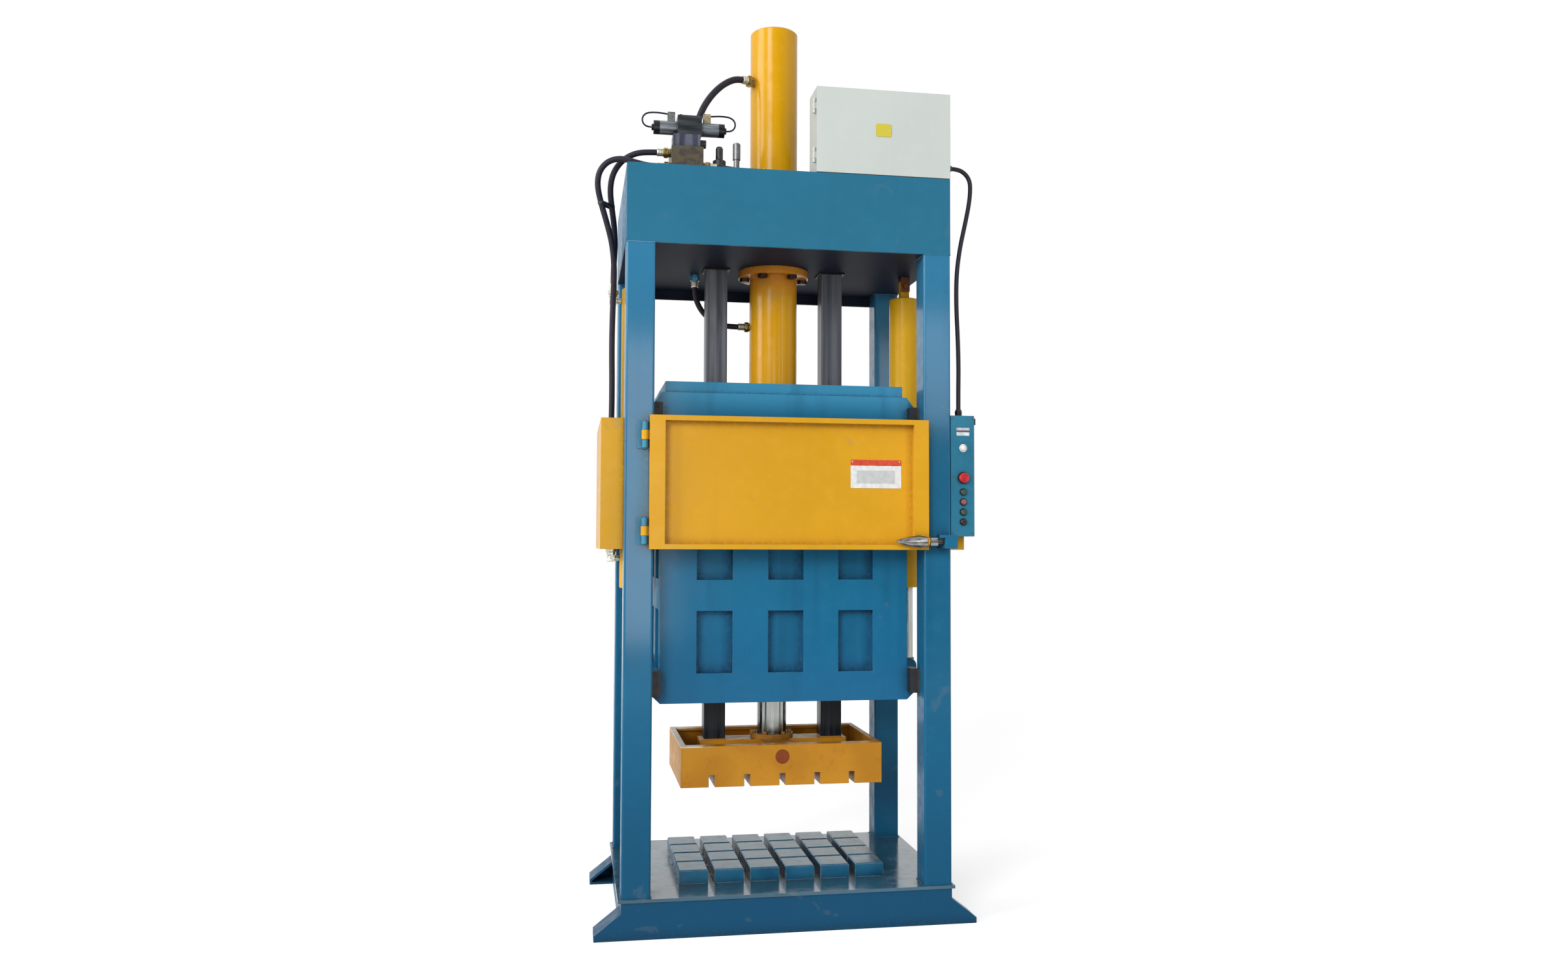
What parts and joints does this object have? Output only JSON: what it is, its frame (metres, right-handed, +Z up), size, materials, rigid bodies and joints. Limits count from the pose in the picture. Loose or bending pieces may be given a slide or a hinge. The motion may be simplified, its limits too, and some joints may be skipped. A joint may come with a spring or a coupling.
{
  "type": "recycling baler",
  "caption": "Vertical hydraulic baler with a lifting chamber, slotted platen on a central ram, feed door, valve stack and control box.",
  "frame": {"origin": "on the floor, at the middle of the base", "axes": "+X to the machine's right as seen from the front, +Y to the back, +Z up"},
  "size_m": [1.5366, 1.059, 3.708],
  "materials": {
    "frame_paint": "satin",
    "platform_paint": "gloss",
    "chamber_paint": "satin",
    "yellow_paint": "satin",
    "hinge_paint": "satin",
    "dark_paint": "satin",
    "bright_rod": "polished",
    "machined_steel": "machined",
    "bronze": "machined",
    "tank_steel": "satin",
    "black_plastic": "matt",
    "cabinet_paint": "satin",
    "control_paint": "satin",
    "red_plastic": "gloss",
    "green_plastic": "gloss",
    "dark_plastic": "gloss",
    "white_lens": "gloss",
    "valve_iron": "painted",
    "motor_paint": "satin",
    "fitting_brass": "plated",
    "black_rubber": "matt"
  },
  "bodies": {
    "frame": {"base_frame": "frame_paint", "platform_plate": "platform_paint", "platform_blocks": "platform_paint", "posts": "frame_paint", "crosshead_frame": "frame_paint", "crosshead_front_cover": "frame_paint", "crosshead_bottom_plate": "platform_paint", "crosshead_top_plate": "frame_paint", "oil_tank": "tank_steel", "guide_bushes": "bronze", "main_cylinder": "yellow_paint", "main_cylinder_gland": "yellow_paint", "flange_bolts": "machined_steel", "lift_cylinders": "yellow_paint", "lift_clevises": "hinge_paint", "side_panels": "yellow_paint", "rear_panel": "yellow_paint", "hinge_brackets": "hinge_paint", "latch_keeper": "frame_paint", "cabinet_body": "cabinet_paint", "control_box": "control_paint", "indicator_lamp": "white_lens", "valve_manifold": "valve_iron", "relief_valve": "valve_iron", "directional_valve": "valve_iron", "solenoid_plugs": "black_plastic", "solenoid_leads": "black_rubber", "tank_fittings": "tank_steel", "motor_housing": "motor_paint", "hydraulic_pump": "valve_iron", "hose_fittings": "fitting_brass", "top_hose": "black_rubber", "lift_hose_upper": "black_rubber", "lift_hose_lower": "black_rubber", "ram_return_hose": "black_rubber", "pressure_hose": "black_rubber", "control_cable": "black_rubber"},
    "ram": {"main_piston": "machined_steel", "main_rod": "bright_rod", "rod_collar": "machined_steel", "platen": "yellow_paint", "platen_pin": "machined_steel", "guide_bars": "dark_paint"},
    "chamber": {"chamber_shell": "chamber_paint", "chamber_end_frames": "chamber_paint", "chamber_side_frames": "chamber_paint", "guide_shoes": "black_plastic", "lift_rods": "bright_rod", "lift_rod_pins": "machined_steel"},
    "door": {"feed_door": "yellow_paint"},
    "latch": {"latch_handle": "bright_rod"},
    "cabinet_lid": {"cabinet_door": "cabinet_paint"},
    "stop_button": {"emergency_stop": "red_plastic"},
    "chamber_down": {"chamber_down_button": "dark_plastic"},
    "chamber_up": {"chamber_up_button": "green_plastic"},
    "ram_down": {"ram_down_button": "red_plastic"},
    "ram_up": {"ram_up_button": "green_plastic"},
    "selector": {"selector_knob": "black_plastic"},
    "relief_adjuster": {"relief_knob": "black_plastic"},
    "rotor": {"motor_shaft": "machined_steel"}
  },
  "joints": [
    {"name": "platen_ram", "type": "slide", "parent": "frame", "child": "ram", "axis": [0, 0, 1], "range_m": [-0.27, 1.22]},
    {"name": "chamber_lift", "type": "slide", "parent": "frame", "child": "chamber", "axis": [0, 0, 1], "range_m": [-0.715, 0.25]},
    {"name": "door_hinge", "type": "hinge", "parent": "frame", "child": "door", "pos_m": [-0.573, -0.4805, 0], "axis": [0, 0, 1], "range_deg": [-150, 0]},
    {"name": "latch_turn", "type": "hinge", "parent": "door", "child": "latch", "pos_m": [0, -0.5335, 1.509], "axis": [1, 0, 0], "range_deg": [-90, 0]},
    {"name": "cabinet_door_hinge", "type": "hinge", "parent": "frame", "child": "cabinet_lid", "pos_m": [0.092, -0.4375, 3], "axis": [0, 0, 1], "range_deg": [-110, 0]},
    {"name": "emergency_stop_push", "type": "slide", "parent": "frame", "child": "stop_button", "axis": [0, 1, 0], "range_m": [0, 0.006]},
    {"name": "chamber_down_push", "type": "slide", "parent": "frame", "child": "chamber_down", "axis": [0, 1, 0], "range_m": [0, 0.004], "stiffness_N_per_m": 500},
    {"name": "chamber_up_push", "type": "slide", "parent": "frame", "child": "chamber_up", "axis": [0, 1, 0], "range_m": [0, 0.004], "stiffness_N_per_m": 500},
    {"name": "ram_down_push", "type": "slide", "parent": "frame", "child": "ram_down", "axis": [0, 1, 0], "range_m": [0, 0.004], "stiffness_N_per_m": 500},
    {"name": "ram_up_push", "type": "slide", "parent": "frame", "child": "ram_up", "axis": [0, 1, 0], "range_m": [0, 0.004], "stiffness_N_per_m": 500},
    {"name": "selector_turn", "type": "hinge", "parent": "frame", "child": "selector", "pos_m": [0.748, -0.4165, 1.996], "axis": [1, 0, 0], "range_deg": [-45, 45]},
    {"name": "relief_turn", "type": "hinge", "parent": "frame", "child": "relief_adjuster", "pos_m": [-0.34, -0.208, 3.142], "axis": [1, 0, 0], "range_deg": [-360, 360]},
    {"name": "motor_spin", "type": "hinge", "parent": "frame", "child": "rotor", "pos_m": [0.45, -0.212, 3], "axis": [0, 0, 1], "continuous": true}
  ]
}
